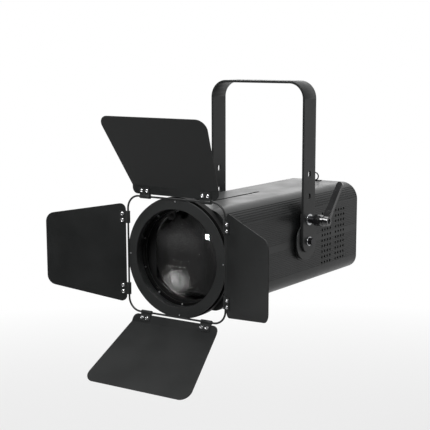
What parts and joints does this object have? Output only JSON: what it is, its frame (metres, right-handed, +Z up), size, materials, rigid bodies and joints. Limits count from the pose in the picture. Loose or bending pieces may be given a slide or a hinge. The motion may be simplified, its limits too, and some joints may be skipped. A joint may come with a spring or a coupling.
{
  "type": "zoom spotlight with barn doors",
  "caption": "Theatre zoom spotlight: long ribbed lamp body, large front lens, rotating barn doors on a wire frame, hanging yoke with a tilt lock lever.",
  "frame": {"origin": "centre of the yoke's hanging bolt hole, half way through the strap", "axes": "+Z up along the bolt, beam leaves along -Y at rest, +X along the tilt axis towards the lock lever"},
  "size_m": [0.5803, 0.7332, 0.5845],
  "materials": {
    "satin_black": "fine satin powder coat",
    "leaf_black": "smooth satin powder coat",
    "body_black": "satin powder coat on an extrusion",
    "inner_black": "matt black",
    "zinc_steel": "bright zinc plate",
    "screw_steel": "bright pan head screws",
    "bolt_black": "black oxide",
    "gloss_black": "glossy black lever",
    "knob_black": "matt moulding",
    "buffer_rubber": "matt rubber",
    "lens_glass": "polished",
    "reflector_mirror": "bright reflector",
    "sink_aluminium": "plain extrusion",
    "board_white": "white solder mask",
    "phosphor": "yellow phosphor",
    "board_green": "green solder mask",
    "connector_black": "moulded",
    "display_dark": "dark glossy window",
    "button_grey": "moulded"
  },
  "bodies": {
    "yoke_body": {"yoke": "satin_black", "lock_stud": "zinc_steel", "lock_washer": "zinc_steel", "clamp_shoe": "knob_black"},
    "lock_insert_body": {"lock_insert": "zinc_steel", "lock_screw": "zinc_steel"},
    "lock_lever_body": {"lock_lever": "gloss_black", "lock_spring": "zinc_steel"},
    "housing_body": {"housing_shell": "body_black", "front_bezel": "body_black", "front_drum": "body_black", "ring_retainers": "zinc_steel", "travel_stop": "buffer_rubber", "guide_rods": "zinc_steel", "mid_bulkhead": "inner_black", "reflector": "reflector_mirror", "led_board": "board_white", "led_emitter": "phosphor", "heat_sink": "sink_aluminium", "power_supply": "sink_aluminium", "rear_panel": "body_black", "fan_frame": "connector_black", "fan_guard": "bolt_black", "display_window": "display_dark", "control_board": "board_green", "data_sockets": "connector_black", "power_inlet": "connector_black", "power_outlet": "connector_black", "fuse_holder": "connector_black", "housing_screws": "zinc_steel", "safety_eye": "bolt_black", "tilt_discs": "body_black", "pivot_bolts": "bolt_black", "pivot_washers": "zinc_steel"},
    "zoom_body": {"light_baffle": "inner_black", "lens_carriage": "inner_black", "lens": "lens_glass", "lens_clips": "zinc_steel", "rod_bushes": "zinc_steel"},
    "zoom_knob_body": {"zoom_knob": "knob_black"},
    "fan_body": {"fan_rotor": "connector_black"},
    "button_1_body": {"menu_button_1": "button_grey"},
    "button_2_body": {"menu_button_2": "button_grey"},
    "button_3_body": {"menu_button_3": "button_grey"},
    "button_4_body": {"menu_button_4": "button_grey"},
    "barn_body": {"barn_ring": "satin_black", "wire_frame": "satin_black", "ring_rivets": "zinc_steel"},
    "leaf_top_body": {"leaf_top": "leaf_black", "leaf_top_clips": "satin_black", "leaf_top_screws": "screw_steel"},
    "leaf_right_body": {"leaf_right": "leaf_black", "leaf_right_clips": "satin_black", "leaf_right_screws": "screw_steel"},
    "leaf_bottom_body": {"leaf_bottom": "leaf_black", "leaf_bottom_clips": "satin_black", "leaf_bottom_screws": "screw_steel"},
    "leaf_left_body": {"leaf_left": "leaf_black", "leaf_left_clips": "satin_black", "leaf_left_screws": "screw_steel"}
  },
  "joints": [
    {"name": "lamp_tilt", "type": "hinge", "parent": "yoke_body", "child": "housing_body", "pos_m": [0, 0, -0.344], "axis": [1, 0, 0], "range_deg": [-45, 90]},
    {"name": "lock_turn", "type": "hinge", "parent": "yoke_body", "child": "lock_insert_body", "pos_m": [0.123, 0, -0.296], "axis": [1, 0, 0], "range_deg": [-60, 60]},
    {"name": "lever_pull", "type": "slide", "parent": "lock_insert_body", "child": "lock_lever_body", "axis": [1, 0, 0], "range_m": [0, 0.003], "stiffness_N_per_m": 800, "springref_m": -0.004, "deforming": ["lock_spring"]},
    {"name": "zoom_slide", "type": "slide", "parent": "housing_body", "child": "zoom_body", "axis": [0, 1, 0], "range_m": [0, 0.22]},
    {"name": "zoom_knob_turn", "type": "hinge", "parent": "zoom_body", "child": "zoom_knob_body", "pos_m": [0, -0.247, -0.244], "axis": [0, 0, 1], "continuous": true},
    {"name": "fan_spin", "type": "hinge", "parent": "housing_body", "child": "fan_body", "pos_m": [0, 0.243, -0.342], "axis": [0, 1, 0], "continuous": true},
    {"name": "barn_rotate", "type": "hinge", "parent": "housing_body", "child": "barn_body", "pos_m": [0, -0.327, -0.344], "axis": [0, 1, 0], "continuous": true},
    {"name": "menu_press_1", "type": "slide", "parent": "housing_body", "child": "button_1_body", "axis": [0, -1, 0], "range_m": [0, 0.0008], "stiffness_N_per_m": 300, "springref_m": -0.002},
    {"name": "menu_press_2", "type": "slide", "parent": "housing_body", "child": "button_2_body", "axis": [0, -1, 0], "range_m": [0, 0.0008], "stiffness_N_per_m": 300, "springref_m": -0.002},
    {"name": "menu_press_3", "type": "slide", "parent": "housing_body", "child": "button_3_body", "axis": [0, -1, 0], "range_m": [0, 0.0008], "stiffness_N_per_m": 300, "springref_m": -0.002},
    {"name": "menu_press_4", "type": "slide", "parent": "housing_body", "child": "button_4_body", "axis": [0, -1, 0], "range_m": [0, 0.0008], "stiffness_N_per_m": 300, "springref_m": -0.002},
    {"name": "leaf_top_hinge", "type": "hinge", "parent": "barn_body", "child": "leaf_top_body", "pos_m": [0, -0.327, -0.2235], "axis": [-1, 0, 0], "range_deg": [-137.2, 17.8]},
    {"name": "leaf_bottom_hinge", "type": "hinge", "parent": "barn_body", "child": "leaf_bottom_body", "pos_m": [0, -0.327, -0.4645], "axis": [1, 0, 0], "range_deg": [-87.4, 42.6]},
    {"name": "leaf_left_hinge", "type": "hinge", "parent": "barn_body", "child": "leaf_left_body", "pos_m": [-0.1205, -0.327, -0.344], "axis": [0, 0, 1], "range_deg": [-31.5, 148.5]},
    {"name": "leaf_right_hinge", "type": "hinge", "parent": "barn_body", "child": "leaf_right_body", "pos_m": [0.1205, -0.327, -0.344], "axis": [0, 0, -1], "range_deg": [-46.5, 106.5]}
  ]
}
